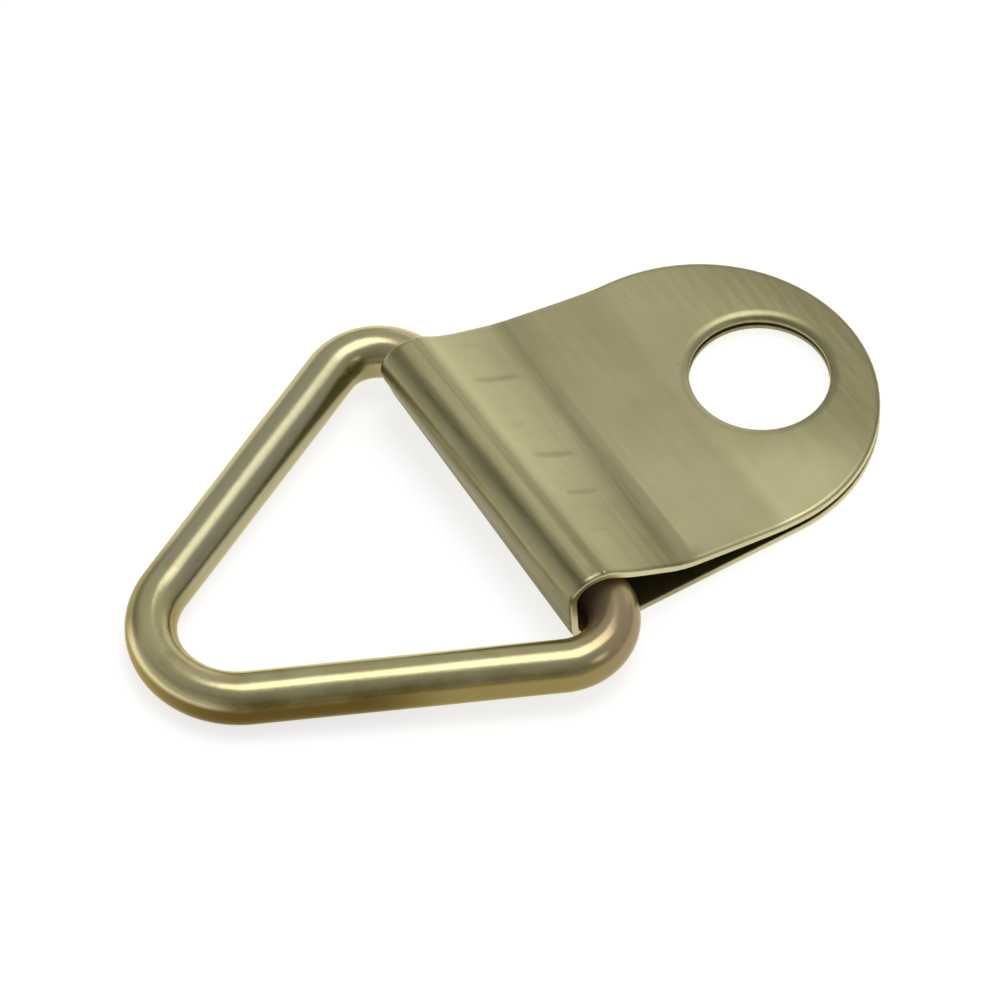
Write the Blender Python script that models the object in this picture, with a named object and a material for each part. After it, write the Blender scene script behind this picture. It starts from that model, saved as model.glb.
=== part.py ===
"""Triangle picture hanger: a wire ring swinging in the fold of a doubled plated strap.

The strap is one strip of thin sheet, folded in two round the ring's base bar. Its two
leaves lie on each other and share one screw hole. Metres, +Z up. The strap's back lies
on Z = 0, its leaves point along +Y and the ring is stretched out along -Y. The origin
is below the middle of the whole hanger.
"""
import math

import bpy
import bmesh
from mathutils import Vector

MM = 0.001

# Strap: one strip of sheet
STRAP_WIDTH = 10.0 * MM
SHEET = 0.25 * MM
LEAF_GAP = 0.12 * MM            # dark line between the two flat leaves
SLOPE_ANGLE = math.radians(33)  # of the front leaf, from the fold down to the crease
RIDGE_BACK = 0.14 * MM          # the slope starts this far short of the base bar's middle
CREASE_RISE = 0.35 * MM         # how high the front leaf still stands at the crease
LAP_RUN = 3.40 * MM             # from the crease to where it lies flat on the back leaf
FLAT_SIDE = 0.54 * MM           # straight sides from there to the round end
FOLD_INNER_RADIUS = 0.50 * MM   # the two corners of the fold's web
RIDGE_RADIUS = 1.00 * MM        # bend between the fold's roof and the slope
CREASE_RADIUS = 2.30 * MM       # soft bend at the foot of the slope
LAP_RADIUS = 6.00 * MM          # very soft bend where the leaves come together
WEB_PLAY = 0.15 * MM            # the ring lies this much further from the web
EDGE_BREAK = 0.04 * MM          # burr-free edge of the stamped sheet

# Screw hole through both leaves
HOLE_DIAMETER = 4.00 * MM
HOLE_MARGIN = 1.10 * MM         # metal between the hole and the round end

# Ring: one length of round wire bent to a rounded triangle
WIRE = 1.50 * MM
RING_HEIGHT = 13.00 * MM        # outside, from the base bar to the apex
APEX_RADIUS = 2.50 * MM         # of the wire's centre line
CORNER_RADIUS = 1.55 * MM       # of the wire's centre line, at both ends of the base bar
SIDE_PLAY = 0.55 * MM           # between each side of the strap and the ring's corner
SEAM_GAP = 0.10 * MM            # the wire's cut ends meet in the middle of the base bar
BAR_CLEARANCE = 0.15 * MM       # between the base bar and the fold round it

# Fineness of the curved surfaces
END_STEPS = 28                  # half of a leaf's round end
BEND_STEPS = 8
HOLE_SIDES = 64
CORNER_STEPS = 14
WIRE_RESOLUTION = 7

# Finish: pale yellow brass plating on steel
PLATING = (0.52, 0.47, 0.27, 1.0)
WIRE_PLATING = (0.56, 0.49, 0.26, 1.0)
PLATING_ROUGHNESS = 0.30
WIRE_ROUGHNESS = 0.22

# Places that follow from the sizes, with the hinge axis at Y = 0
WIRE_RADIUS = WIRE / 2
HALF_SHEET = SHEET / 2
HALF_STRAP = STRAP_WIDTH / 2
CORNER_CENTRE_X = HALF_STRAP + SIDE_PLAY + WIRE_RADIUS - CORNER_RADIUS
APEX_CENTRE = RING_HEIGHT - WIRE - APEX_RADIUS
RING_REACH = APEX_CENTRE + APEX_RADIUS

HINGE_Z = SHEET + BAR_CLEARANCE + WIRE_RADIUS
WRAP_RADIUS = WIRE_RADIUS + BAR_CLEARANCE + HALF_SHEET
BACK_Z = HALF_SHEET
FRONT_Z = SHEET + LEAF_GAP + HALF_SHEET
CREASE_Z = FRONT_Z + CREASE_RISE
RIDGE_HEIGHT = (WRAP_RADIUS + RIDGE_BACK * math.sin(SLOPE_ANGLE)) / math.cos(SLOPE_ANGLE)
ROOF_Z = HINGE_Z + RIDGE_HEIGHT
CREASE_Y = (ROOF_Z - CREASE_Z) / math.tan(SLOPE_ANGLE) - RIDGE_BACK
LAP_Y = CREASE_Y + LAP_RUN
END_CENTRE_Y = LAP_Y + FLAT_SIDE
LEAF_END_Y = END_CENTRE_Y + HALF_STRAP
HOLE_Y = LEAF_END_Y - HOLE_MARGIN - HOLE_DIAMETER / 2
REST_TILT = math.asin((HINGE_Z - WIRE_RADIUS) / RING_REACH)


def bar_reach():
    """How far the wire reaches towards the fold's web, within the strap's width."""
    side_in_corner = HALF_STRAP - CORNER_CENTRE_X
    if side_in_corner <= 0:
        return WIRE_RADIUS
    inner_radius = CORNER_RADIUS - WIRE_RADIUS
    return CORNER_RADIUS - math.sqrt(inner_radius ** 2 - side_in_corner ** 2)


WEB_Y = -(bar_reach() + BAR_CLEARANCE + WEB_PLAY + HALF_SHEET)
RING_END_Y = -(RING_REACH * math.cos(REST_TILT) + WIRE_RADIUS)
HINGE = Vector((0, -(LEAF_END_Y + RING_END_Y) / 2, HINGE_Z))


def clear_scene():
    for item in list(bpy.data.objects):
        bpy.data.objects.remove(item, do_unlink=True)


def make_material(name, colour, roughness):
    material = bpy.data.materials.new(name)
    material.use_nodes = True
    shader = material.node_tree.nodes["Principled BSDF"]
    shader.inputs["Base Color"].default_value = colour
    shader.inputs["Metallic"].default_value = 1.0
    shader.inputs["Roughness"].default_value = roughness
    return material


def add_object(name, data, material):
    item = bpy.data.objects.new(name, data)
    bpy.context.scene.collection.objects.link(item)
    data.materials.append(material)
    return item


def arc(centre, radius, start, stop, steps):
    """Points on an arc about a 2-D centre, both ends included."""
    angles = [start + (stop - start) * step / steps for step in range(steps + 1)]
    return [centre + radius * Vector((math.cos(angle), math.sin(angle))) for angle in angles]


def rounded_corner(before, corner, after, radius):
    """Points of the arc that rounds the corner between two straight runs."""
    to_before = (before - corner).normalized()
    to_after = (after - corner).normalized()
    half_angle = to_before.angle(to_after) / 2
    centre = corner + (to_before + to_after).normalized() * radius / math.sin(half_angle)
    first = corner + to_before * radius / math.tan(half_angle) - centre
    last = corner + to_after * radius / math.tan(half_angle) - centre
    start = math.atan2(first.y, first.x)
    turn = (math.atan2(last.y, last.x) - start + math.pi) % math.tau - math.pi
    return arc(centre, radius, start, start + turn, BEND_STEPS)


def strap_bends():
    """The middle of the sheet, as (Y, Z) points, from the lap round the fold to the back."""
    front_end = Vector((LEAF_END_Y, FRONT_Z))
    lap = Vector((LAP_Y, FRONT_Z))
    crease = Vector((CREASE_Y, CREASE_Z))
    ridge = Vector((-RIDGE_BACK, ROOF_Z))
    web_top = Vector((WEB_Y, ROOF_Z))
    web_foot = Vector((WEB_Y, BACK_Z))
    back_end = Vector((LEAF_END_Y, BACK_Z))
    corners = [front_end, lap, crease, ridge, web_top, web_foot, back_end]
    web_radius = FOLD_INNER_RADIUS + HALF_SHEET
    radii = [LAP_RADIUS, CREASE_RADIUS, RIDGE_RADIUS, web_radius, web_radius]
    points = []
    for index, radius in enumerate(radii, start=1):
        points += rounded_corner(corners[index - 1], corners[index], corners[index + 1], radius)
    return points


def round_end(height, steps):
    """Stations (Y, Z, half width) of a leaf's round end, from its tip to its sides."""
    angles = [math.pi / 2 * (1 - step / steps) for step in range(1, steps + 1)]
    return [
        (END_CENTRE_Y + HALF_STRAP * math.sin(angle), height, HALF_STRAP * math.cos(angle))
        for angle in angles
    ]


def strap_mesh():
    """The folded sheet's middle surface: one row across the strap at each station."""
    stations = round_end(FRONT_Z, END_STEPS)
    stations += [(point.x, point.y, HALF_STRAP) for point in strap_bends()]
    stations += reversed(round_end(BACK_Z, END_STEPS))

    bm = bmesh.new()
    front_tip = bm.verts.new((0, LEAF_END_Y, FRONT_Z))
    rows = [
        (bm.verts.new((-half, y, z)), bm.verts.new((half, y, z)))
        for y, z, half in stations
    ]
    back_tip = bm.verts.new((0, LEAF_END_Y, BACK_Z))
    bm.faces.new((front_tip, rows[0][0], rows[0][1]))
    for near, far in zip(rows, rows[1:]):
        bm.faces.new((near[0], far[0], far[1], near[1]))
    bm.faces.new((rows[-1][0], back_tip, rows[-1][1]))
    bmesh.ops.recalc_face_normals(bm, faces=bm.faces)

    mesh = bpy.data.meshes.new("folded_strap")
    bm.to_mesh(mesh)
    bm.free()
    return mesh


def make_hole_cutter():
    """A punch through both leaves at the screw hole."""
    bm = bmesh.new()
    bmesh.ops.create_cone(
        bm, cap_ends=True, segments=HOLE_SIDES, radius1=HOLE_DIAMETER / 2,
        radius2=HOLE_DIAMETER / 2, depth=2 * ROOF_Z,
    )
    mesh = bpy.data.meshes.new("screw_hole_cutter")
    bm.to_mesh(mesh)
    bm.free()
    cutter = bpy.data.objects.new("screw_hole_cutter", mesh)
    bpy.context.scene.collection.objects.link(cutter)
    cutter.location = (0, HINGE.y + HOLE_Y, 0)
    cutter.hide_render = True
    cutter.display_type = "WIRE"
    return cutter


def make_strap():
    material = make_material("strap_plating", PLATING, PLATING_ROUGHNESS)
    mesh = strap_mesh()
    strap = add_object("folded_strap", mesh, material)
    strap.location = (0, HINGE.y, 0)
    mesh.shade_smooth()
    mesh.set_sharp_from_angle(angle=math.radians(30))

    thicken = strap.modifiers.new("sheet", "SOLIDIFY")
    thicken.thickness = SHEET
    thicken.offset = 0
    thicken.use_even_offset = True

    punch = strap.modifiers.new("screw_hole", "BOOLEAN")
    punch.operation = "DIFFERENCE"
    punch.object = make_hole_cutter()
    punch.solver = "EXACT"

    soften = strap.modifiers.new("edge_break", "BEVEL")
    soften.width = EDGE_BREAK
    soften.segments = 1
    soften.limit_method = "ANGLE"
    soften.angle_limit = math.radians(60)
    return strap


def ring_centre_line():
    """The wire's centre line in the ring's own plane, with the base bar along X."""
    corner = Vector((CORNER_CENTRE_X, CORNER_RADIUS))
    apex = Vector((0, APEX_CENTRE))
    between = apex - corner
    lean = math.acos((CORNER_RADIUS - APEX_RADIUS) / between.length)
    side = math.atan2(between.y, between.x) - lean
    right = arc(corner, CORNER_RADIUS, -math.pi / 2, side, CORNER_STEPS)
    top = arc(apex, APEX_RADIUS, side, math.pi - side, CORNER_STEPS)
    left = [Vector((-point.x, point.y)) for point in reversed(right)]
    seam = Vector((SEAM_GAP / 2, 0))
    return [seam] + right + top + left + [-seam]


def make_ring():
    material = make_material("ring_plating", WIRE_PLATING, WIRE_ROUGHNESS)
    points = ring_centre_line()
    curve = bpy.data.curves.new("triangle_ring", "CURVE")
    curve.dimensions = "3D"
    curve.bevel_depth = WIRE_RADIUS
    curve.bevel_resolution = WIRE_RESOLUTION
    curve.use_fill_caps = True
    spline = curve.splines.new("POLY")
    spline.points.add(len(points) - 1)
    for target, point in zip(spline.points, points):
        target.co = (point.x, -point.y, 0, 1)
    spline.use_smooth = True
    ring = add_object("triangle_ring", curve, material)
    ring.location = HINGE
    ring.rotation_euler = (REST_TILT, 0, 0)
    return ring


def main():
    clear_scene()
    make_strap()
    make_ring()


main()
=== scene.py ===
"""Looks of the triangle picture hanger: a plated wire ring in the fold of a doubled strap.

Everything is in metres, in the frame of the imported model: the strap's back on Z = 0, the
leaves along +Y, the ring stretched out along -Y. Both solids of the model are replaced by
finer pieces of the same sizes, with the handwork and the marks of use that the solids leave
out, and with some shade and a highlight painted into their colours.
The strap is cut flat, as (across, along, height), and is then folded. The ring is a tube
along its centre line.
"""
import bisect
import math

import bpy
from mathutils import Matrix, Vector, noise
from mathutils.geometry import delaunay_2d_cdt


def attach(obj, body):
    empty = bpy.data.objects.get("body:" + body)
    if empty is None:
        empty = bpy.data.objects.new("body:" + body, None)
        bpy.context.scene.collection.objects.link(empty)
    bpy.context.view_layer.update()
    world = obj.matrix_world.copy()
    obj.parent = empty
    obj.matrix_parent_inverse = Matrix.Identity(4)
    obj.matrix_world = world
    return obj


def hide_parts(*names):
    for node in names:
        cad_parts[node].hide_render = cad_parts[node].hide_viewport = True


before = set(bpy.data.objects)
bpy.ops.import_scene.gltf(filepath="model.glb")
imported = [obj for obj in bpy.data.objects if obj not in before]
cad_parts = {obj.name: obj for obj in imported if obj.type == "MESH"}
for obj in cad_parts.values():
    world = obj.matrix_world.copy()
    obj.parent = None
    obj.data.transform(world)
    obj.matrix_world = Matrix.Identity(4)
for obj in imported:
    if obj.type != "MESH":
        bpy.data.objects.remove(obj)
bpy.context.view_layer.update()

MM = 0.001

# Strap, as in the model
STRAP_WIDTH = 10.0 * MM
SHEET = 0.25 * MM
LEAF_GAP = 0.12 * MM
SLOPE_ANGLE = math.radians(33)
RIDGE_BACK = 0.14 * MM
CREASE_RISE = 0.35 * MM
LAP_RUN = 3.40 * MM
FLAT_SIDE = 0.54 * MM
FOLD_INNER_RADIUS = 0.50 * MM
RIDGE_RADIUS = 1.00 * MM
CREASE_RADIUS = 2.30 * MM
LAP_RADIUS = 6.00 * MM
WEB_PLAY = 0.15 * MM
HOLE_DIAMETER = 4.00 * MM
HOLE_MARGIN = 1.10 * MM

# Ring, as in the model
WIRE = 1.50 * MM
RING_HEIGHT = 13.00 * MM
APEX_RADIUS = 2.50 * MM
CORNER_RADIUS = 1.55 * MM
SIDE_PLAY = 0.55 * MM
SEAM_GAP = 0.10 * MM
BAR_CLEARANCE = 0.15 * MM

# Cut edges of the sheet: a soft roll where the punch went in, a small one where it left
ROLL_WIDTH = 0.16 * MM
ROLL_DEPTH = 0.09 * MM
HOLE_ROLL_WIDTH = 0.30 * MM
HOLE_ROLL_DEPTH = 0.14 * MM
BURR_RADIUS = 0.035 * MM
FACE_MARGIN = 0.06 * MM         # between an edge's roll and the face's first inner point

# Handwork in the sheet
CROWN = 0.030 * MM              # the front leaf is a little lower at its sides
CROWN_RUN = 2.0 * MM            # fully so this far past the crease
SPRING = 0.33 * MM              # how far the front leaf has sprung up past the crease
SPRING_TWIST = 0.35             # share by which it stands higher towards -X
SPRING_TOP = 0.25 * MM          # where it stands highest, short of the crease's far side
SPRING_RISE = 2.7 * MM          # along the strip, up to there
SPRING_FADE = 3.0 * MM          # along the leaf from there on
SPRING_EARLY = 0.40 * MM        # and the fade starts this far short of the top
TUCK = 0.21 * MM                # the fold's foot is tucked in under the bar
TUCK_TWIST = 0.80               # share by which it is tucked further towards -X
TUCK_IN = (-0.40 * MM, 0.65 * MM)       # sets in between these, from the foot's bend on
TUCK_OUT = (-1.25 * MM, 0.05 * MM)      # fades between these, from the top bend on
WAVE = 0.008 * MM
WAVE_LENGTH = 4.0 * MM
DISH_DEPTH = 0.030 * MM         # the punch drew the sheet in round the hole
DISH_REACH = 0.45 * MM
SCORE_PLACE = 0.22 * MM         # line that the folding tool pressed along the ridge
SCORE_DEPTH = 0.012 * MM
SCORE_WIDTH = 0.045 * MM

# Marks of the folding tool across the slope, in millimetres: place across the strap, middle
# and length along the slope, width. Then the share of the depth, and the lean.
TOOL_MARKS = [
    (-4.35, 1.70, 1.00, 0.120, 0.35, 0.12),
    (-2.95, 1.80, 1.70, 0.130, 0.90, 0.10),
    (-1.10, 1.30, 0.70, 0.120, 0.40, -0.30),
    (0.20, 1.70, 1.60, 0.130, 1.00, 0.12),
    (1.75, 1.65, 1.30, 0.120, 0.85, 0.06),
    (3.25, 1.20, 0.90, 0.110, 0.45, 0.02),
]
MARK_DEPTH = 0.014 * MM

# Painted shade on the sheet, from 0 to 1, streaked as if tarnished, and its brown inside. Spans
# across are in half widths.
# painted shade on the inner face, between the leaves and inside the fold
INNER_SHADE = 0.35
CREASE_LEAN = 0.06              # the crease's painted dark line runs a little aslant
CREASE_LEAN_REACH = 1.5 * MM
SIDE_DARKENING = 0.24             # the slope is darker towards +X
SIDE_SPAN = (-0.5, 1.2)
LEAF_SHADE = 0.19             # painted shade: the leaf is darker away from its +X edge and near its tip
LEAF_START = 0.5 * MM
UNSHADED_SPAN = (-0.1, 0.8)
UNSHADED_FROM_TIP = (1.5 * MM, 4.0 * MM)
WALL_REACH = 0.02 * MM          # this near its edge, a point is on the cut wall
HOLE_WALL_REACH = 0.1 * MM
# Painted shade on the cut walls: most in the screw holes, less on the leaves' walls
HOLE_WALL_SHADE = 0.75
FRONT_WALL_SHADE = 0.05
BACK_WALL_SHADE = 0.10
FOOT_WALL_SHADE = 0.50        # more painted shade on the back leaf's wall near the fold
FOOT_WALL_SPAN = (-5.0 * MM, -3.0 * MM)
BROWN_EARLY = 0.6 * MM          # the brown inside sets in over so much before the fold
BROWN_INSET = 0.4 * MM          # and fades from ridge to crease, less this at each end

# The wire's handwork
BEND_NARROWING = 0.030          # it is a little flattened where it was bent
BEND_THICKENING = 0.012
WIRE_WAVE = 0.006 * MM
WIRE_WAVE_LENGTH = 1.7 * MM
END_CHAMFER = 0.06 * MM

# Looks of the sheet and the wire
PER_METRE = (1000, 1000, 1000)  # textures are measured in millimetres
BUMP_DISTANCE = 0.02 * MM

SHEET_DARKER = (0.615, 0.567, 0.313)
SHEET_PALER = (0.690, 0.640, 0.370)
SHEET_BRUSHED = (0.770, 0.722, 0.455)
SHEET_STAINED = (0.470, 0.390, 0.185)
# painted shade, streaked as if tarnished
SHEET_SHADE_AND_TARNISH = (0.130, 0.110, 0.042)
SHEET_RIM = (0.330, 0.330, 0.170)
SHEET_MARKED = (0.260, 0.235, 0.120)
SHEET_SPECK = (0.250, 0.215, 0.110)
SHEET_INNER = (0.430, 0.245, 0.090)
SHEET_SHEEN = (1.0, 0.96, 0.80)

WIRE_DARKER = (0.540, 0.490, 0.245)
WIRE_PALER = (0.620, 0.565, 0.300)
WIRE_DRAWN = (0.690, 0.630, 0.370)
WIRE_STAINED = (0.400, 0.310, 0.120)
# painted shade on the wire's lower side
WIRE_PAINTED_SHADE = (0.215, 0.165, 0.042)
# deeper painted shade under the +X arm
WIRE_DEEP_SHADE = (0.092, 0.058, 0.012)
WIRE_NEAR_FOLD = (0.400, 0.300, 0.168)
WIRE_FAR_FOLD = (0.520, 0.420, 0.290)
WIRE_SCUFFED = (0.455, 0.428, 0.280)
# painted shade on the apex's outer side
WIRE_APEX_SHADE = (0.170, 0.135, 0.050)
# painted highlight on the apex's outer top
WIRE_PAINTED_HIGHLIGHT = (0.780, 0.680, 0.380)
WIRE_SHEEN = (1.0, 0.92, 0.66)

# Stretches of the wire, in millimetres along it from the seam round by +X
WIRE_TRAVEL = 38.8              # its whole length
NEAR_FOLD = (8.2, 5.8)
FAR_FOLD = (WIRE_TRAVEL - 7.2, WIRE_TRAVEL - 5.6)
# Painted shade under the +X arm and into the apex
SHADE_RIGHT_ARM = (10.5, 13.5, 17.0, 20.0)
SCUFFED = (20.5, 23.5, 30.5, 33.0)
# Painted shade on the apex's outer side, towards -X
APEX_SHADE = (19.8, 20.8, 22.4, 24.0)
# Painted highlight along the apex's outer top
APEX_HIGHLIGHT = (16.8, 17.7, 20.0, 21.0)

# Its outer side, as the cosine of the angle round the wire, for the apex's painted shade and
# painted highlight
APEX_SHADE_SIDE = (0.25, 0.60)
APEX_HIGHLIGHT_SIDE = (0.56, 0.72, 0.84, 0.95)

# Studio, with its lengths in metres
FLOOR_RADIUS = 1.30
FLOOR_FLAT = 0.8                # share of its radius that is flat
FLOOR_CURVE = 0.2               # share that curves up
FLOOR_RINGS = (0, 0.02, 0.1, 0.3, 0.6, FLOOR_FLAT)
FLOOR_SIDES = 96
WALL_HEIGHT = 0.42
WALL_STEPS = 12
FLOOR_WHITE = 0.62
FLOOR_GLOW = 0.72               # near the object
FAR_GLOW = 0.22
GLOW_FADE = (0.10, 0.60)        # metres from the object
WORLD_BEHIND = 0.50             # the world's grey level behind the object
WORLD_NEAR = 0.28               # and on the camera's side
WORLD_TURN = 0.9                # cosine at which it has these in full
CAMERA_AZIMUTH = math.radians(57.7)
CAMERA_ELEVATION = math.radians(51.8)
CAMERA_DISTANCE = 0.360
CAMERA_CLIP = (0.02, 10)
SENSOR_WIDTH = 36
FRAME_WIDTH = 28.0 * MM
AIM = Vector((0, 0, 0.7 * MM))

# Fineness
GRID = 0.40 * MM
SLOPE_GRID = 0.12 * MM
SLOPE_EARLY = 0.2 * MM          # the marks' columns start this far before the slope
BEND_STEPS = 14
END_STEPS = 44
HOLE_STEPS = 96
ROLL_STEPS = 7
BURR_STEPS = 3
SCORE_STEPS = 5
MARK_STEPS = 4
MARK_RUN = 0.55                 # rows reach this share of a mark's length from its middle
TUBE_SIDES = 56
CORNER_STEPS = 36
ARM_STEP = 0.35 * MM
PROBE = 0.02 * MM               # step for measuring how the handwork tilts the sheet
HOLE_TOLERANCE = 0.005 * MM     # a face whose middle is this near a hole is in it
JOIN_DISTANCE = 1e-7            # nearer than this, in millimetres, flat points are one

# Places that follow, with the hinge axis at Y = 0
WIRE_RADIUS = WIRE / 2
HALF_SHEET = SHEET / 2
HALF_STRAP = STRAP_WIDTH / 2
CORNER_CENTRE_X = HALF_STRAP + SIDE_PLAY + WIRE_RADIUS - CORNER_RADIUS
APEX_CENTRE = RING_HEIGHT - WIRE - APEX_RADIUS
RING_REACH = APEX_CENTRE + APEX_RADIUS
HINGE_Z = SHEET + BAR_CLEARANCE + WIRE_RADIUS
WRAP_RADIUS = WIRE_RADIUS + BAR_CLEARANCE + HALF_SHEET
BACK_Z = HALF_SHEET
FRONT_Z = SHEET + LEAF_GAP + HALF_SHEET
CREASE_Z = FRONT_Z + CREASE_RISE
RIDGE_HEIGHT = (WRAP_RADIUS + RIDGE_BACK * math.sin(SLOPE_ANGLE)) / math.cos(SLOPE_ANGLE)
ROOF_Z = HINGE_Z + RIDGE_HEIGHT
CREASE_Y = (ROOF_Z - CREASE_Z) / math.tan(SLOPE_ANGLE) - RIDGE_BACK
LAP_Y = CREASE_Y + LAP_RUN
LEAF_END_Y = LAP_Y + FLAT_SIDE + HALF_STRAP
REST_TILT = math.asin((HINGE_Z - WIRE_RADIUS) / RING_REACH)


def bar_reach():
    """How far the wire reaches towards the fold's web, within the strap's width."""
    side_in_corner = HALF_STRAP - CORNER_CENTRE_X
    inner_radius = CORNER_RADIUS - WIRE_RADIUS
    return CORNER_RADIUS - math.sqrt(inner_radius ** 2 - side_in_corner ** 2)


WEB_Y = -(bar_reach() + BAR_CLEARANCE + WEB_PLAY + HALF_SHEET)
RING_END_Y = -(RING_REACH * math.cos(REST_TILT) + WIRE_RADIUS)
HINGE_Y = -(LEAF_END_Y + RING_END_Y) / 2


# Folding the sheet

def fold_path():
    """The middle of the sheet from the back leaf's tip to the front leaf's, as pieces.

    Each piece is (start along the sheet, start point, heading, length, bend rate).
    """
    corners = [
        Vector((LEAF_END_Y, BACK_Z)), Vector((WEB_Y, BACK_Z)), Vector((WEB_Y, ROOF_Z)),
        Vector((-RIDGE_BACK, ROOF_Z)), Vector((CREASE_Y, CREASE_Z)), Vector((LAP_Y, FRONT_Z)),
        Vector((LEAF_END_Y, FRONT_Z)),
    ]
    web_radius = FOLD_INNER_RADIUS + HALF_SHEET
    radii = [web_radius, web_radius, RIDGE_RADIUS, CREASE_RADIUS, LAP_RADIUS]
    pieces = []
    at = corners[0]
    along = 0
    for index, radius in enumerate(radii, start=1):
        before = corners[index] - corners[index - 1]
        after = corners[index + 1] - corners[index]
        heading = math.atan2(before.y, before.x)
        turn = math.atan2(after.y, after.x) - heading
        turn = (turn + math.pi) % math.tau - math.pi
        run = radius * math.tan(abs(turn) / 2)
        bend_start = corners[index] - before.normalized() * run
        length = (bend_start - at).length
        pieces.append((along, at, heading, length, 0))
        along += length
        bend_length = radius * abs(turn)
        pieces.append((along, bend_start, heading, bend_length, turn / bend_length))
        along += bend_length
        at = corners[index] + after.normalized() * run
    length = (corners[-1] - at).length
    pieces.append((along, at, 0, length, 0))
    return pieces


FOLD = fold_path()
STARTS = [piece[0] for piece in FOLD]
LENGTH = FOLD[-1][0] + FOLD[-1][3]

# Where these start along the strip: the foot's bend, the web, the top bend, the ridge's
# bend, the slope, the crease's bend and the front leaf
FOOT_S, WEB_S, TOP_S = STARTS[1:4]
RIDGE_S, SLOPE_S, CREASE_S, FLAT_S = STARTS[5:9]
SCORE_S = RIDGE_S + SCORE_PLACE


def folded(along):
    """The sheet's middle point (Y, Z) and heading at a place along the flat strip."""
    index = max(0, bisect.bisect_right(STARTS, along) - 1)
    start, point, heading, _length, rate = FOLD[index]
    run = along - start
    if rate == 0:
        step = Vector((math.cos(heading), math.sin(heading))) * run
        return point + step, heading
    turned = heading + rate * run
    step = Vector((
        (math.sin(turned) - math.sin(heading)) / rate,
        (math.cos(heading) - math.cos(turned)) / rate,
    ))
    return point + step, turned


def hole_places():
    """The two screw hole centres along the flat strip."""
    inset = HOLE_MARGIN + HOLE_DIAMETER / 2
    return [inset, LENGTH - inset]


def gap_to_outline(across, along):
    """How far a point of the flat strip is inside the strip's outline."""
    if HALF_STRAP < along < LENGTH - HALF_STRAP:
        return HALF_STRAP - abs(across)
    centre = HALF_STRAP if along <= HALF_STRAP else LENGTH - HALF_STRAP
    return HALF_STRAP - math.hypot(across, along - centre)


def gap_to_holes(across, along):
    """How far a point of the flat strip is from the nearer screw hole's edge."""
    return min(
        math.hypot(across, along - centre) - HOLE_DIAMETER / 2 for centre in hole_places()
    )


def in_hole(across, along, margin):
    """True if a point of the flat strip is in a screw hole or within a margin round it."""
    return any(
        math.hypot(across, along - centre) < HOLE_DIAMETER / 2 + margin
        for centre in hole_places()
    )


def inside(across, along, edge_inset, hole_inset):
    """True if a point of the flat strip is in the metal, clear of its edges' rolls."""
    if gap_to_outline(across, along) < edge_inset + FACE_MARGIN:
        return False
    return not in_hole(across, along, hole_inset + FACE_MARGIN)


def smooth(value, low, high):
    """0 below low, 1 above high, and an even curve between them."""
    share = min(1, max(0, (value - low) / (high - low)))
    return share * share * (3 - 2 * share)


# Painted shade and the brown inside, on the sheet

def shade_bands():
    """How much painted shade the outer face has along the strip, as pairs: most on the web."""
    return [
        (0, 0.20), (FOOT_S, 0.55), (WEB_S, 1.00), (TOP_S + 0.10 * MM, 1.00),
        (TOP_S + 0.34 * MM, 0.36), (TOP_S + 0.52 * MM, 0.30), (TOP_S + 0.68 * MM, 0.84),
        (TOP_S + 0.84 * MM, 0.62), (TOP_S + 1.00 * MM, 0.40), (RIDGE_S + 0.05 * MM, 0.26),
        (SCORE_S - 0.06 * MM, 0.36), (SCORE_S + 0.20 * MM, 0.12), (SLOPE_S, 0.06),
        (CREASE_S - 1.10 * MM, 0.09), (CREASE_S - 0.18 * MM, 0.32),
        (CREASE_S + 0.42 * MM, 0.53), (FLAT_S, 0.22), (FLAT_S + 0.40 * MM, 0.02),
        (LENGTH - 5.5 * MM, 0.04), (LENGTH - 3.4 * MM, 0.17), (LENGTH - 1.3 * MM, 0.40),
        (LENGTH, 0.44),
    ]


SHADE_BANDS = shade_bands()


def band_shade(place):
    """The painted shade of the bands at a place along the strip."""
    for (start, low), (stop, high) in zip(SHADE_BANDS, SHADE_BANDS[1:]):
        if place <= stop:
            return low + (high - low) * (place - start) / (stop - start)
    return SHADE_BANDS[-1][1]


def wall_shade(across, along):
    """How much painted shade the cut wall of the sheet has at a place."""
    if in_hole(across, along, HOLE_WALL_REACH):
        return HOLE_WALL_SHADE
    if along < FOOT_S:
        start, stop = FOOT_WALL_SPAN
        return BACK_WALL_SHADE + FOOT_WALL_SHADE * smooth(along, FOOT_S + start, FOOT_S + stop)
    return FRONT_WALL_SHADE


def shade_and_tarnish(across, along, rim, outer):
    """How much painted shade the sheet has at a place, from 0 to 1; the material streaks it."""
    if rim < WALL_REACH:
        return wall_shade(across, along)
    # painted shade on the inner face
    if not outer:
        return INNER_SHADE
    lean = CREASE_LEAN * across if abs(along - CREASE_S) < CREASE_LEAN_REACH else 0
    shade_share = band_shade(along + lean)
    side = across / HALF_STRAP
    if RIDGE_S < along < FLAT_S:
        shade_share += SIDE_DARKENING * smooth(side, *SIDE_SPAN)
    # painted shade on the leaf, least near its +X edge away from the tip
    if along > FLAT_S:
        unshaded = smooth(side, *UNSHADED_SPAN) * smooth(LENGTH - along, *UNSHADED_FROM_TIP)
        shade_share += LEAF_SHADE * (1 - unshaded) * smooth(along, FLAT_S, FLAT_S + LEAF_START)
    return shade_share


def browned(along):
    """How brown the sheet's inner face is at a place, from 0 to 1: most in the fold."""
    rise = smooth(along, FOOT_S - BROWN_EARLY, FOOT_S)
    return rise * (1 - smooth(along, RIDGE_S + BROWN_INSET, CREASE_S - BROWN_INSET))


# Handwork in the sheet

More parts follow.
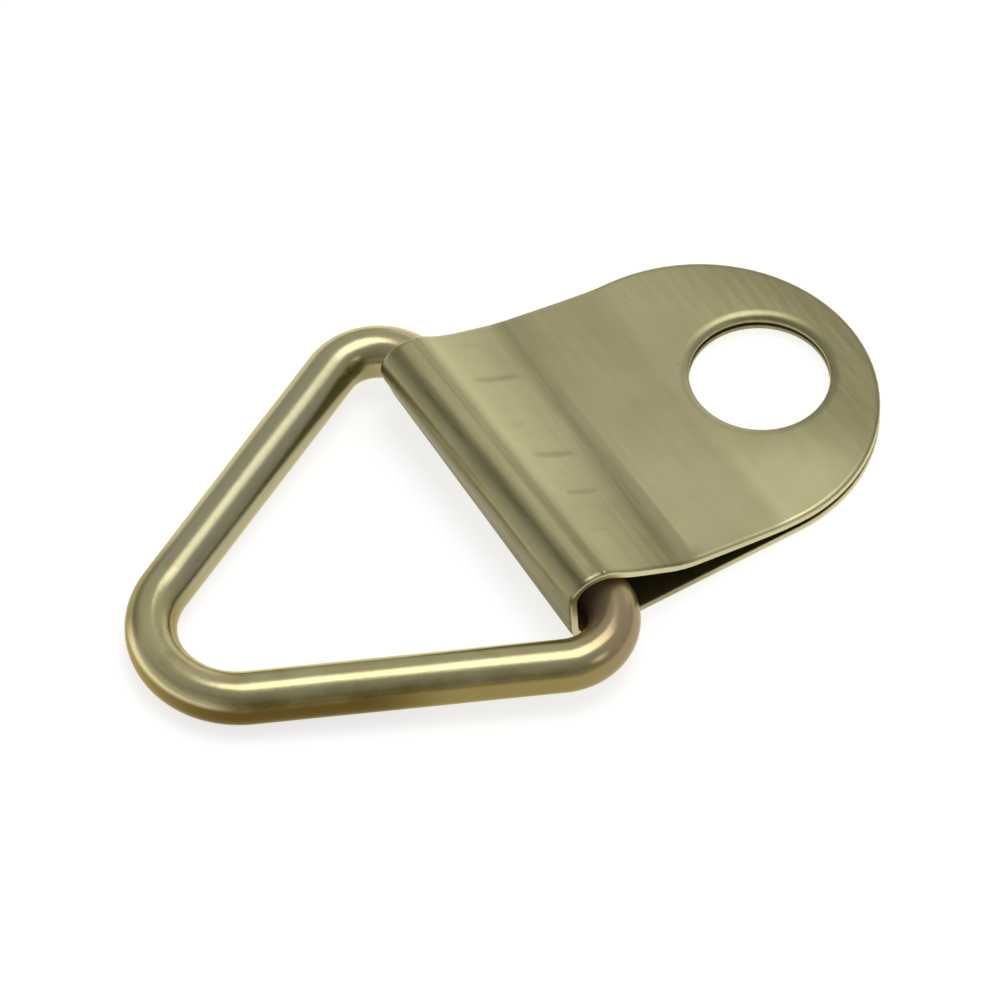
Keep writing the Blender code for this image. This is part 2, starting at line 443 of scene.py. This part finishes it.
def mark_strength(across, along):
    """How deep the folding tool's marks are at a place, from 0 to 1."""
    total = 0
    for place, middle, length, width, depth, lean in TOOL_MARKS:
        run = (along - RIDGE_S) / MM - middle
        side = across / MM - place - lean * run
        fade = max(0, 1 - (2 * run / length) ** 4)
        total = max(total, depth * fade * math.exp(-(side / width) ** 2))
    return total


def spring(along):
    """How much of the leaf's springing up there is at a place, from 0 to 1."""
    top = FLAT_S - SPRING_TOP
    fade = max(0, along - top + SPRING_EARLY) / SPRING_FADE
    return smooth(along, top - SPRING_RISE, top) / (1 + fade * fade)


def tuck(along):
    """How much of the fold's tucking in there is at a place, from 0 to 1."""
    rise = smooth(along, FOOT_S + TUCK_IN[0], FOOT_S + TUCK_IN[1])
    return rise * (1 - smooth(along, TOP_S + TUCK_OUT[0], TOP_S + TUCK_OUT[1]))


def lift(across, along):
    """How far the sheet's handwork moves it off its plain shape."""
    height = WAVE * noise.noise(Vector((across, along, 0)) / WAVE_LENGTH)
    blend = min(1, max(0, (along - CREASE_S) / CROWN_RUN))
    height -= CROWN * blend * (across / HALF_STRAP) ** 2
    for centre in hole_places():
        gap = math.hypot(across, along - centre) - HOLE_DIAMETER / 2
        height -= DISH_DEPTH * math.exp(-max(0, gap) / DISH_REACH)
    height += SPRING * spring(along) * (1 - SPRING_TWIST * across / HALF_STRAP)
    height -= TUCK * tuck(along) * (1 - TUCK_TWIST * across / HALF_STRAP)
    height -= SCORE_DEPTH * math.exp(-((along - SCORE_S) / SCORE_WIDTH) ** 2)
    height -= MARK_DEPTH * mark_strength(across, along)
    return height


# The strap's mesh

def edge_profile(roll_width, roll_depth):
    """From the outer face to the inner one: (inset, height, outward, upward) of the edge."""
    rows = []
    for step in range(ROLL_STEPS + 1):
        angle = math.pi / 2 * (1 - step / ROLL_STEPS)
        outward = Vector((math.cos(angle) / roll_width, math.sin(angle) / roll_depth))
        outward.normalize()
        rows.append((
            roll_width * (1 - math.cos(angle)),
            HALF_SHEET - roll_depth * (1 - math.sin(angle)),
            outward.x, outward.y,
        ))
    for step in range(BURR_STEPS + 1):
        angle = -math.pi / 2 * step / BURR_STEPS
        rows.append((
            BURR_RADIUS * (1 - math.cos(angle)),
            BURR_RADIUS * (1 + math.sin(angle)) - HALF_SHEET,
            math.cos(angle), math.sin(angle),
        ))
    return rows


def stations():
    """Places along the strip where the sheet needs a row of points."""
    places = []
    for start, _point, _heading, length, rate in FOLD:
        if rate:
            steps = BEND_STEPS
        elif start == SLOPE_S:
            steps = math.ceil(length / SLOPE_GRID)
        else:
            steps = math.ceil(length / GRID)
        places += [start + length * step / steps for step in range(steps)]
    places += [
        SCORE_S + SCORE_WIDTH * step / 2 for step in range(-SCORE_STEPS, SCORE_STEPS + 1)
    ]
    return sorted(places)


def columns(along):
    """Places across the strip for a row of points."""
    count = round(HALF_STRAP / GRID)
    places = [GRID * step for step in range(-count, count + 1)]
    if SLOPE_S - SLOPE_EARLY < along < CREASE_S:
        for place, middle, length, width, _depth, lean in TOOL_MARKS:
            run = (along - RIDGE_S) / MM - middle
            if abs(run) < MARK_RUN * length:
                centre = place + lean * run
                steps = range(-MARK_STEPS, MARK_STEPS + 1)
                places += [(centre + width * step / 2) * MM for step in steps]
    return places


def outline(rows):
    """The strip's outline, counterclockwise, as pairs: the centre and the way outwards."""
    loop = []
    sides = [place for place in rows if HALF_STRAP < place < LENGTH - HALF_STRAP]
    for step in range(END_STEPS + 1):
        angle = math.pi * step / END_STEPS
        outward = Vector((math.cos(angle), math.sin(angle)))
        loop.append((Vector((0, LENGTH - HALF_STRAP)), outward))
    for place in reversed(sides):
        loop.append((Vector((0, place)), Vector((-1, 0))))
    for step in range(END_STEPS + 1):
        angle = math.pi + math.pi * step / END_STEPS
        outward = Vector((math.cos(angle), math.sin(angle)))
        loop.append((Vector((0, HALF_STRAP)), outward))
    for place in sides:
        loop.append((Vector((0, place)), Vector((1, 0))))
    return loop


def hole_outline(centre):
    """A screw hole's outline, clockwise, as pairs: the centre and the way outwards."""
    loop = []
    for step in range(HOLE_STEPS):
        angle = -math.tau * step / HOLE_STEPS
        loop.append((Vector((0, centre)), Vector((math.cos(angle), math.sin(angle)))))
    return loop


class Sheet:
    """Collects the folded sheet's points, normals and faces, and their marks, brown and painted
    shade.

    For each point it keeps "rim", the distance from the nearest cut edge in millimetres, and
    three strengths from 0 to 1: "marks" of the folding tool, the painted shade, and "inner", the
    brown.
    """

    def __init__(self):
        self.points = []
        self.normals = []
        self.faces = []
        self.flat = []
        self.wear_and_shade = {"rim": [], "marks": [], "shade_and_tarnish": [], "inner": []}

    def add(self, across, along, height, side, run, up):
        """One point of the sheet, given flat, with its flat normal."""
        step = 2 * PROBE
        tilt_across = (lift(across + PROBE, along) - lift(across - PROBE, along)) / step
        tilt_along = (lift(across, along + PROBE) - lift(across, along - PROBE)) / step
        middle, heading = folded(along)
        outward = Vector((-math.sin(heading), math.cos(heading)))
        forward = Vector((math.cos(heading), math.sin(heading)))
        spot = middle + outward * (height + lift(across, along))
        self.points.append((across, HINGE_Y + spot.x, spot.y))
        run = run - up * tilt_along
        side = side - up * tilt_across
        turned = forward * run + outward * up
        self.normals.append(Vector((side, turned.x, turned.y)).normalized())
        self.flat.append((across / MM, along / MM))

        gap = min(gap_to_outline(across, along), gap_to_holes(across, along))
        brown = browned(along) if height < 0 and gap > BURR_RADIUS / 2 else 0.0
        self.wear_and_shade["rim"].append(gap / MM)
        self.wear_and_shade["marks"].append(mark_strength(across, along))
        self.wear_and_shade["shade_and_tarnish"].append(shade_and_tarnish(across, along, gap, height > 0))
        self.wear_and_shade["inner"].append(brown)
        return len(self.points) - 1

    def add_loop(self, loop, radius, sign, profile):
        """Rows of an edge: sign 1 insets an outline, -1 widens a hole."""
        rows = []
        for inset, height, outward, up in profile:
            row = []
            for centre, way in loop:
                spot = centre + way * (radius - sign * inset)
                facing = way * sign * outward
                row.append(self.add(spot.x, spot.y, height, facing.x, facing.y, up))
            rows.append(row)
        for upper, lower in zip(rows, rows[1:]):
            for index, corner in enumerate(upper):
                after = (index + 1) % len(upper)
                self.faces.append((corner, lower[index], lower[after], upper[after]))
        return rows[0], rows[-1]

    def add_face(self, loops, rows, height, up, edge_inset, hole_inset):
        """Fills one face of the sheet between its outline and its holes."""
        known = [index for loop in loops for index in loop]
        flat = [Vector(self.flat[index]) for index in known]
        edges = []
        first = 0
        for loop in loops:
            count = len(loop)
            edges += [(first + i, first + (i + 1) % count) for i in range(count)]
            first += count
        for along in rows:
            for across in columns(along):
                if inside(across, along, edge_inset, hole_inset):
                    known.append(self.add(across, along, height, 0, 0, up))
                    flat.append(Vector((across / MM, along / MM)))
        spots, _edges, faces, sources, _e, _f = delaunay_2d_cdt(
            flat, edges, [], 0, JOIN_DISTANCE,
        )
        names = [known[source[0]] for source in sources]
        for face in faces:
            middle = sum((spots[i] for i in face), Vector((0, 0))) / len(face) * MM
            if in_hole(middle.x, middle.y, hole_inset + HOLE_TOLERANCE):
                continue
            corners = [names[i] for i in face]
            self.faces.append(tuple(corners) if up > 0 else tuple(reversed(corners)))


def make_strap():
    """The folded strap's mesh, with its marks, brown and painted shade as attributes of its
    points.
    """
    sheet = Sheet()
    rows = stations()
    top, bottom = sheet.add_loop(
        outline(rows), HALF_STRAP, 1, edge_profile(ROLL_WIDTH, ROLL_DEPTH),
    )
    tops, bottoms = [top], [bottom]
    profile = edge_profile(HOLE_ROLL_WIDTH, HOLE_ROLL_DEPTH)
    for centre in hole_places():
        top, bottom = sheet.add_loop(hole_outline(centre), HOLE_DIAMETER / 2, -1, profile)
        tops.append(top)
        bottoms.append(bottom)
    sheet.add_face(tops, rows, HALF_SHEET, 1, ROLL_WIDTH, HOLE_ROLL_WIDTH)
    sheet.add_face(bottoms, rows, -HALF_SHEET, -1, BURR_RADIUS, BURR_RADIUS)

    mesh = bpy.data.meshes.new("strap_of_plated_sheet")
    mesh.from_pydata(sheet.points, [], sheet.faces)
    mesh.shade_smooth()
    mesh.normals_split_custom_set_from_vertices(sheet.normals)
    for name, values in sheet.wear_and_shade.items():
        layer = mesh.attributes.new(name, "FLOAT", "POINT")
        layer.data.foreach_set("value", values)
    return mesh


# The ring's mesh

def ring_line():
    """The wire's centre line in the ring's own plane: (point, heading, bend share)."""
    corner = Vector((CORNER_CENTRE_X, CORNER_RADIUS))
    corner_left = Vector((-corner.x, corner.y))
    apex = Vector((0, APEX_CENTRE))
    between = apex - corner
    lean = math.acos((CORNER_RADIUS - APEX_RADIUS) / between.length)
    side = math.atan2(between.y, between.x) - lean
    way = Vector((math.cos(side), math.sin(side)))
    way_left = Vector((-way.x, way.y))
    down = Vector((0, -CORNER_RADIUS))
    places = []

    def straight(start, stop):
        count = math.ceil((stop - start).length / ARM_STEP)
        heading = (stop - start).normalized()
        for step in range(count):
            places.append((start.lerp(stop, step / count), heading, 0))

    def bend(centre, radius, start, stop):
        for step in range(CORNER_STEPS):
            share = step / CORNER_STEPS
            angle = start + (stop - start) * share
            outward = Vector((math.cos(angle), math.sin(angle)))
            heading = Vector((-outward.y, outward.x))
            places.append((centre + outward * radius, heading, math.sin(math.pi * share)))

    straight(Vector((SEAM_GAP / 2, 0)), corner + down)
    bend(corner, CORNER_RADIUS, -math.pi / 2, side)
    straight(corner + way * CORNER_RADIUS, apex + way * APEX_RADIUS)
    bend(apex, APEX_RADIUS, side, math.pi - side)
    straight(apex + way_left * APEX_RADIUS, corner_left + way_left * CORNER_RADIUS)
    bend(corner_left, CORNER_RADIUS, math.pi - side, 3 * math.pi / 2)
    straight(corner_left + down, Vector((-SEAM_GAP / 2, 0)))
    places.append((Vector((-SEAM_GAP / 2, 0)), Vector((1, 0)), 0))
    return places


def make_ring():
    """A tube along the centre line, a little flattened where the wire was bent.

    Its points carry "wire", which is (millimetres along the wire, share of the way round
    it, bend share), and "above", which is 1 on the ring's front and -1 on its back.
    """
    away = Vector((0, -math.cos(REST_TILT), -math.sin(REST_TILT)))
    above = Vector((0, -math.sin(REST_TILT), math.cos(REST_TILT)))
    hinge = Vector((0, HINGE_Y, HINGE_Z))
    line = ring_line()
    points, rows, wire_coords, heights = [], [], [], []
    travelled = 0
    last = line[0][0]
    for index, (place, heading, bent) in enumerate(line):
        travelled += (place - last).length
        last = place
        centre = hinge + Vector((place.x, 0, 0)) + away * place.y
        out = Vector((heading.y, 0, 0)) - away * heading.x
        at_end = index in (0, len(line) - 1)
        radius = WIRE_RADIUS - END_CHAMFER if at_end else WIRE_RADIUS
        row = []
        for step in range(TUBE_SIDES):
            angle = math.tau * step / TUBE_SIDES
            wide = math.cos(angle) * (1 - BEND_NARROWING * bent)
            tall = math.sin(angle) * (1 + BEND_THICKENING * bent)
            spot = centre + (out * wide + above * tall) * radius
            uneven = noise.noise(spot / WIRE_WAVE_LENGTH) * WIRE_WAVE
            spot += (out * wide + above * tall) * uneven
            row.append(len(points))
            points.append(spot)
            wire_coords.append((travelled / MM, step / TUBE_SIDES, bent))
            heights.append(math.sin(angle))
        rows.append(row)
    faces = []
    for near, far in zip(rows, rows[1:]):
        for step in range(TUBE_SIDES):
            after = (step + 1) % TUBE_SIDES
            faces.append((near[step], near[after], far[after], far[step]))
    faces.append(tuple(reversed(rows[0])))
    faces.append(tuple(rows[-1]))

    mesh = bpy.data.meshes.new("ring_of_plated_wire")
    mesh.from_pydata(points, [], faces)
    mesh.shade_smooth()
    mesh.polygons[-1].use_smooth = False
    mesh.polygons[-2].use_smooth = False
    layer = mesh.attributes.new("wire", "FLOAT_VECTOR", "POINT")
    layer.data.foreach_set("vector", [value for row in wire_coords for value in row])
    layer = mesh.attributes.new("above", "FLOAT", "POINT")
    layer.data.foreach_set("value", heights)
    return mesh


# Materials

class Graph:
    """Short calls for building a material's nodes. All but node() give an output socket.

    A colour is given as (red, green, blue).
    """

    def __init__(self, tree):
        self.tree = tree
        self.tree.nodes.clear()

    def node(self, kind, inputs=None, **settings):
        """A new node itself, with its inputs linked or set."""
        made = self.tree.nodes.new("ShaderNode" + kind)
        for name, value in settings.items():
            setattr(made, name, value)
        for key, value in (inputs or {}).items():
            socket = made.inputs[key]
            if isinstance(value, bpy.types.NodeSocket):
                self.tree.links.new(value, socket)
            elif socket.type == "RGBA":
                socket.default_value = (*value, 1.0)
            else:
                socket.default_value = value
        return made

    def attribute(self, name, output="Fac"):
        return self.node("Attribute", attribute_name=name).outputs[output]

    def math(self, operation, first, second=0.0, third=0.0, clamp=False):
        return self.node(
            "Math", {0: first, 1: second, 2: third}, operation=operation, use_clamp=clamp,
        ).outputs[0]

    def product(self, first, second, clamp=False):
        return self.math("MULTIPLY", first, second, clamp=clamp)

    def line(self, value, slope, start):
        """start + slope * value"""
        return self.math("MULTIPLY_ADD", value, slope, start)

    def scale(self, vector, sizes):
        return self.node(
            "VectorMath", {0: vector, 1: sizes}, operation="MULTIPLY",
        ).outputs[0]

    def noise(self, vector, scale=1.0, detail=2.0, roughness=0.5, distortion=0.0):
        return self.node("TexNoise", {
            "Vector": vector, "Scale": scale, "Detail": detail,
            "Roughness": roughness, "Distortion": distortion,
        }).outputs["Fac"]

    def spread(self, value, low, high, to_low=0.0, to_high=1.0):
        """to_low where the value is low, to_high where it is high, a curve between."""
        return self.node("MapRange", {
            "Value": value, "From Min": low, "From Max": high,
            "To Min": to_low, "To Max": to_high,
        }, interpolation_type="SMOOTHSTEP").outputs["Result"]

    def stretch(self, value, span):
        """1 inside a span of (rise's start, rise's end, fall's start, fall's end)."""
        return self.product(
            self.spread(value, span[0], span[1]), self.spread(value, span[3], span[2]),
        )

    def mix(self, share, first, second):
        """The first colour at share 0, the second at 1."""
        return self.node("Mix", {0: share, 6: first, 7: second}, data_type="RGBA").outputs[2]


def new_graph(name):
    material = bpy.data.materials.new(name)
    material.use_nodes = True
    return material, Graph(material.node_tree)


def finish_metal(graph, tone, metal, rough, height, bump, sheen):
    """Joins a metal's colour, roughness and relief in its shader."""
    relief = graph.node("Bump", {
        "Strength": bump, "Distance": BUMP_DISTANCE, "Height": height,
    }).outputs["Normal"]
    shader = graph.node("BsdfPrincipled", {
        "Base Color": tone, "Metallic": metal, "Roughness": rough, "Normal": relief,
        "Specular Tint": sheen,
    })
    graph.node("OutputMaterial", {"Surface": shader.outputs[0]})


def strap_material():
    """Stamped sheet, brushed across the strap, brown inside, with shade painted at its bends and
    walls and streaked as if tarnished.
    """
    material, graph = new_graph("pale_brass_sheet")
    spot = graph.scale(graph.node("TexCoord").outputs["Object"], PER_METRE)
    rim = graph.attribute("rim")
    marks = graph.attribute("marks")
    shade_share = graph.attribute("shade_and_tarnish")
    inner = graph.attribute("inner")

    brushed = graph.noise(graph.scale(spot, (0.12, 7.0, 7.0)), detail=2.0, roughness=0.6)
    fine = graph.noise(graph.scale(spot, (0.35, 15.0, 15.0)), detail=1.0, roughness=0.6)
    streak = graph.noise(graph.scale(spot, (0.45, 5.5, 5.5)), detail=4.0, roughness=0.65)
    cloud = graph.noise(spot, scale=0.28, detail=3.0, roughness=0.55)
    stain = graph.noise(spot, scale=0.9, detail=4.0, roughness=0.6, distortion=0.6)
    grain = graph.noise(spot, scale=9.0, detail=3.0, roughness=0.6)
    speck = graph.node("TexVoronoi", {
        "Vector": spot, "Scale": 0.9, "Randomness": 1.0,
    }).outputs["Distance"]

    tone = graph.mix(graph.spread(cloud, 0.35, 0.65), SHEET_DARKER, SHEET_PALER)
    tone = graph.mix(graph.spread(brushed, 0.30, 0.72, 0.0, 0.10), tone, SHEET_BRUSHED)
    tone = graph.mix(graph.spread(stain, 0.60, 0.78, 0.0, 0.35), tone, SHEET_STAINED)
    # Painted shade at the fold, crease, walls, inner face and tip, streaked as if tarnished
    shade_streaked = graph.product(shade_share, graph.spread(streak, 0.25, 0.65, 0.81, 1.06), clamp=True)
    tone = graph.mix(shade_streaked, tone, SHEET_SHADE_AND_TARNISH)
    tone = graph.mix(graph.spread(rim, 0.45, 0.05, 0.0, 0.08), tone, SHEET_RIM)
    tone = graph.mix(graph.spread(marks, 0.05, 1.00, 0.0, 0.42), tone, SHEET_MARKED)
    tone = graph.mix(graph.spread(speck, 0.060, 0.020, 0.0, 0.35), tone, SHEET_SPECK)
    brown = graph.product(inner, graph.spread(stain, 0.30, 0.70, 0.60, 1.0))
    tone = graph.mix(brown, tone, SHEET_INNER)
    metal = graph.line(brown, slope=-0.7, start=1.0)

    rough = graph.line(brushed, slope=0.07, start=0.27)
    rough = graph.line(grain, slope=0.05, start=rough)
    rough = graph.math("ADD", rough, graph.spread(stain, 0.55, 0.80, 0.0, 0.10))

    height = graph.line(brushed, slope=0.45, start=graph.product(fine, 0.35))
    height = graph.line(grain, slope=0.22, start=height)
    finish_metal(graph, tone, metal, rough, height, bump=0.16, sheen=SHEET_SHEEN)
    return material


def ring_material():
    """Drawn wire, brown at the fold and scuffed, with painted shade on its lower side and on the
    apex's outer side, and a painted highlight on the apex.
    """
    material, graph = new_graph("pale_brass_wire")
    spot = graph.scale(graph.node("TexCoord").outputs["Object"], PER_METRE)
    wire = graph.attribute("wire", "Vector")
    travel, round_share, _bent = graph.node("SeparateXYZ", {0: wire}).outputs
    outer = graph.math("COSINE", graph.product(round_share, math.tau))

    drawn = graph.noise(graph.scale(wire, (0.22, 46.0, 0.0)), detail=4.0, roughness=0.65)
    cloud = graph.noise(spot, scale=0.45, detail=3.0, roughness=0.55)
    stain = graph.noise(
        graph.scale(wire, (0.55, 5.0, 0.0)), detail=3.0, roughness=0.6, distortion=0.4,
    )
    blotch = graph.noise(graph.scale(wire, (0.8, 4.0, 0.0)), detail=3.0, roughness=0.6)
    grain = graph.noise(spot, scale=8.0, detail=4.0, roughness=0.62)
    above = graph.line(
        graph.math("SUBTRACT", blotch, 0.5), slope=0.45, start=graph.attribute("above"),
    )

    tone = graph.mix(graph.spread(cloud, 0.35, 0.65), WIRE_DARKER, WIRE_PALER)
    tone = graph.mix(graph.spread(drawn, 0.35, 0.70, 0.0, 0.35), tone, WIRE_DRAWN)
    tone = graph.mix(graph.spread(stain, 0.55, 0.75, 0.0, 0.45), tone, WIRE_STAINED)
    # Painted shade on the wire's lower side
    tone = graph.mix(graph.spread(above, 0.90, 0.48, 0.0, 0.88), tone, WIRE_PAINTED_SHADE)
    # Deeper painted shade under the +X arm
    shaded_underside = graph.spread(above, 0.70, 0.30, 0.0, 0.92)
    shade_right_arm = graph.product(graph.stretch(travel, SHADE_RIGHT_ARM), shaded_underside)
    tone = graph.mix(shade_right_arm, tone, WIRE_DEEP_SHADE)
    near_fold = graph.spread(travel, *NEAR_FOLD, 0.0, 0.78)
    tone = graph.mix(near_fold, tone, WIRE_NEAR_FOLD)
    tone = graph.mix(graph.spread(travel, *FAR_FOLD, 0.0, 0.50), tone, WIRE_FAR_FOLD)
    scuffed = graph.stretch(travel, SCUFFED)
    patchy = graph.spread(drawn, 0.30, 0.65, 0.55, 0.88)
    tone = graph.mix(graph.product(scuffed, patchy), tone, WIRE_SCUFFED)
    # Painted shade on the apex's outer side
    apex_shade_side = graph.spread(outer, *APEX_SHADE_SIDE, 0.0, 0.62)
    apex_shade = graph.product(graph.stretch(travel, APEX_SHADE), apex_shade_side)
    tone = graph.mix(apex_shade, tone, WIRE_APEX_SHADE)
    # Painted highlight along the apex's outer top
    painted_highlight = graph.product(graph.stretch(travel, APEX_HIGHLIGHT), graph.stretch(outer, APEX_HIGHLIGHT_SIDE))
    painted_highlight = graph.product(painted_highlight, graph.spread(above, 0.05, 0.30, 0.0, 0.90))
    tone = graph.mix(painted_highlight, tone, WIRE_PAINTED_HIGHLIGHT)
    metal = graph.line(near_fold, slope=-0.55, start=1.0)

    rough = graph.line(drawn, slope=0.05, start=0.165)
    rough = graph.line(grain, slope=0.05, start=rough)
    rough = graph.line(scuffed, slope=0.035, start=rough)

    height = graph.line(drawn, slope=0.5, start=graph.product(grain, 0.6))
    finish_metal(graph, tone, metal, rough, height, bump=0.22, sheen=WIRE_SHEEN)
    return material


# Studio

def toward(azimuth, elevation):
    """The way to a place seen from the object: azimuth 0 is -Y, 90 degrees is +X."""
    return Vector((
        math.sin(azimuth) * math.cos(elevation),
        -math.cos(azimuth) * math.cos(elevation),
        math.sin(elevation),
    ))


def place_at(thing, way, distance, aim=Vector((0, 0, 0))):
    """Puts a lamp or the camera at a distance from its aim, and turns it there."""
    bpy.context.scene.collection.objects.link(thing)
    thing.location = aim + way * distance
    thing.rotation_mode = "QUATERNION"
    thing.rotation_quaternion = way.to_track_quat("Z", "Y")


def floor_mesh():
    """A round floor that curves up into a low wall."""
    profile = [(FLOOR_RADIUS * share, 0) for share in FLOOR_RINGS]
    for step in range(1, WALL_STEPS + 1):
        angle = math.pi / 2 * step / WALL_STEPS
        profile.append((
            FLOOR_RADIUS * (FLOOR_FLAT + FLOOR_CURVE * math.sin(angle)),
            WALL_HEIGHT * (1 - math.cos(angle)),
        ))
    points, faces = [(0, 0, 0)], []
    for radius, height in profile[1:]:
        for step in range(FLOOR_SIDES):
            angle = math.tau * step / FLOOR_SIDES
            points.append((radius * math.cos(angle), radius * math.sin(angle), height))
    for step in range(FLOOR_SIDES):
        faces.append((0, 1 + step, 1 + (step + 1) % FLOOR_SIDES))
    for ring in range(len(profile) - 2):
        first = 1 + ring * FLOOR_SIDES
        outer = first + FLOOR_SIDES
        for step in range(FLOOR_SIDES):
            after = (step + 1) % FLOOR_SIDES
            faces.append((first + step, outer + step, outer + after, first + after))
    mesh = bpy.data.meshes.new("floor")
    mesh.from_pydata(points, [], faces)
    mesh.shade_smooth()
    return mesh


def floor_material():
    """A pale floor with a glow that only the camera and reflections see."""
    material, graph = new_graph("floor_white")
    path = graph.node("LightPath").outputs
    seen = graph.math("ADD", path["Is Camera Ray"], path["Is Glossy Ray"])
    seen = graph.math("ADD", seen, path["Is Transmission Ray"], clamp=True)
    white = graph.node("BsdfDiffuse", {"Color": (FLOOR_WHITE, FLOOR_WHITE, FLOOR_WHITE)})
    place = graph.node("TexCoord").outputs["Object"]
    reach = graph.node("VectorMath", {0: place}, operation="LENGTH").outputs["Value"]
    fade = graph.spread(reach, *GLOW_FADE, FLOOR_GLOW, FAR_GLOW)
    glow = graph.node("Emission", {"Strength": graph.product(seen, fade)})
    both = graph.node("AddShader", {0: white.outputs[0], 1: glow.outputs[0]})
    graph.node("OutputMaterial", {"Surface": both.outputs[0]})
    return material


def make_floor():
    floor = bpy.data.objects.new("floor", floor_mesh())
    bpy.context.scene.collection.objects.link(floor)
    floor.data.materials.append(floor_material())


def make_lamp(name, azimuth, elevation, distance, width, height, radiance, tint):
    """A soft lamp, with its angles in degrees, that isn't seen by the camera."""
    data = bpy.data.lights.new(name, "AREA")
    data.shape = "RECTANGLE"
    data.size = width
    data.size_y = height
    # A lamp of this power has the wanted brightness, seen from the object
    data.energy = radiance * width * height * math.pi
    data.color = tint
    lamp = bpy.data.objects.new(name, data)
    place_at(lamp, toward(math.radians(azimuth), math.radians(elevation)), distance)
    lamp.visible_camera = False


def make_world():
    world = bpy.data.worlds.new("studio")
    bpy.context.scene.world = world
    world.use_nodes = True
    graph = Graph(world.node_tree)
    way = graph.node("TexCoord").outputs["Generated"]
    camera_side = toward(CAMERA_AZIMUTH, 0)
    facing = graph.node(
        "VectorMath", {0: way, 1: camera_side}, operation="DOT_PRODUCT",
    ).outputs["Value"]
    level = graph.spread(facing, -WORLD_TURN, WORLD_TURN, WORLD_BEHIND, WORLD_NEAR)
    shade = graph.node("CombineColor", {0: level, 1: level, 2: level}).outputs[0]
    back = graph.node("Background", {"Color": shade, "Strength": 1.0})
    graph.node("OutputWorld", {"Surface": back.outputs[0]})


def make_camera():
    data = bpy.data.cameras.new("camera")
    data.sensor_width = SENSOR_WIDTH
    data.lens = data.sensor_width * CAMERA_DISTANCE / FRAME_WIDTH
    data.clip_start, data.clip_end = CAMERA_CLIP
    camera = bpy.data.objects.new("camera", data)
    place_at(camera, toward(CAMERA_AZIMUTH, CAMERA_ELEVATION), CAMERA_DISTANCE, AIM)
    bpy.context.scene.camera = camera


def add_piece(name, mesh, material, body, node):
    """A visible piece that rides on a body and stands for a solid of the model."""
    mesh.materials.append(material)
    piece = bpy.data.objects.new(name, mesh)
    bpy.context.scene.collection.objects.link(piece)
    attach(piece, body)
    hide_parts(node)


add_piece("strap", make_strap(), strap_material(), "strap", "folded_strap")
add_piece("wire_ring", make_ring(), ring_material(), "ring", "triangle_ring")
make_floor()
make_lamp(
    "overhead", azimuth=200, elevation=77, distance=0.75,
    width=0.44, height=0.44, radiance=2.1, tint=(1.0, 0.99, 0.96),
)
make_lamp(
    "far_side", azimuth=212, elevation=13, distance=1.05,
    width=0.90, height=0.50, radiance=0.36, tint=(1.0, 1.0, 1.0),
)
make_lamp(
    "near_right", azimuth=113, elevation=32, distance=0.90,
    width=0.24, height=0.24, radiance=1.10, tint=(1.0, 0.98, 0.94),
)
make_world()
make_camera()
bpy.context.scene.view_settings.view_transform = "Standard"
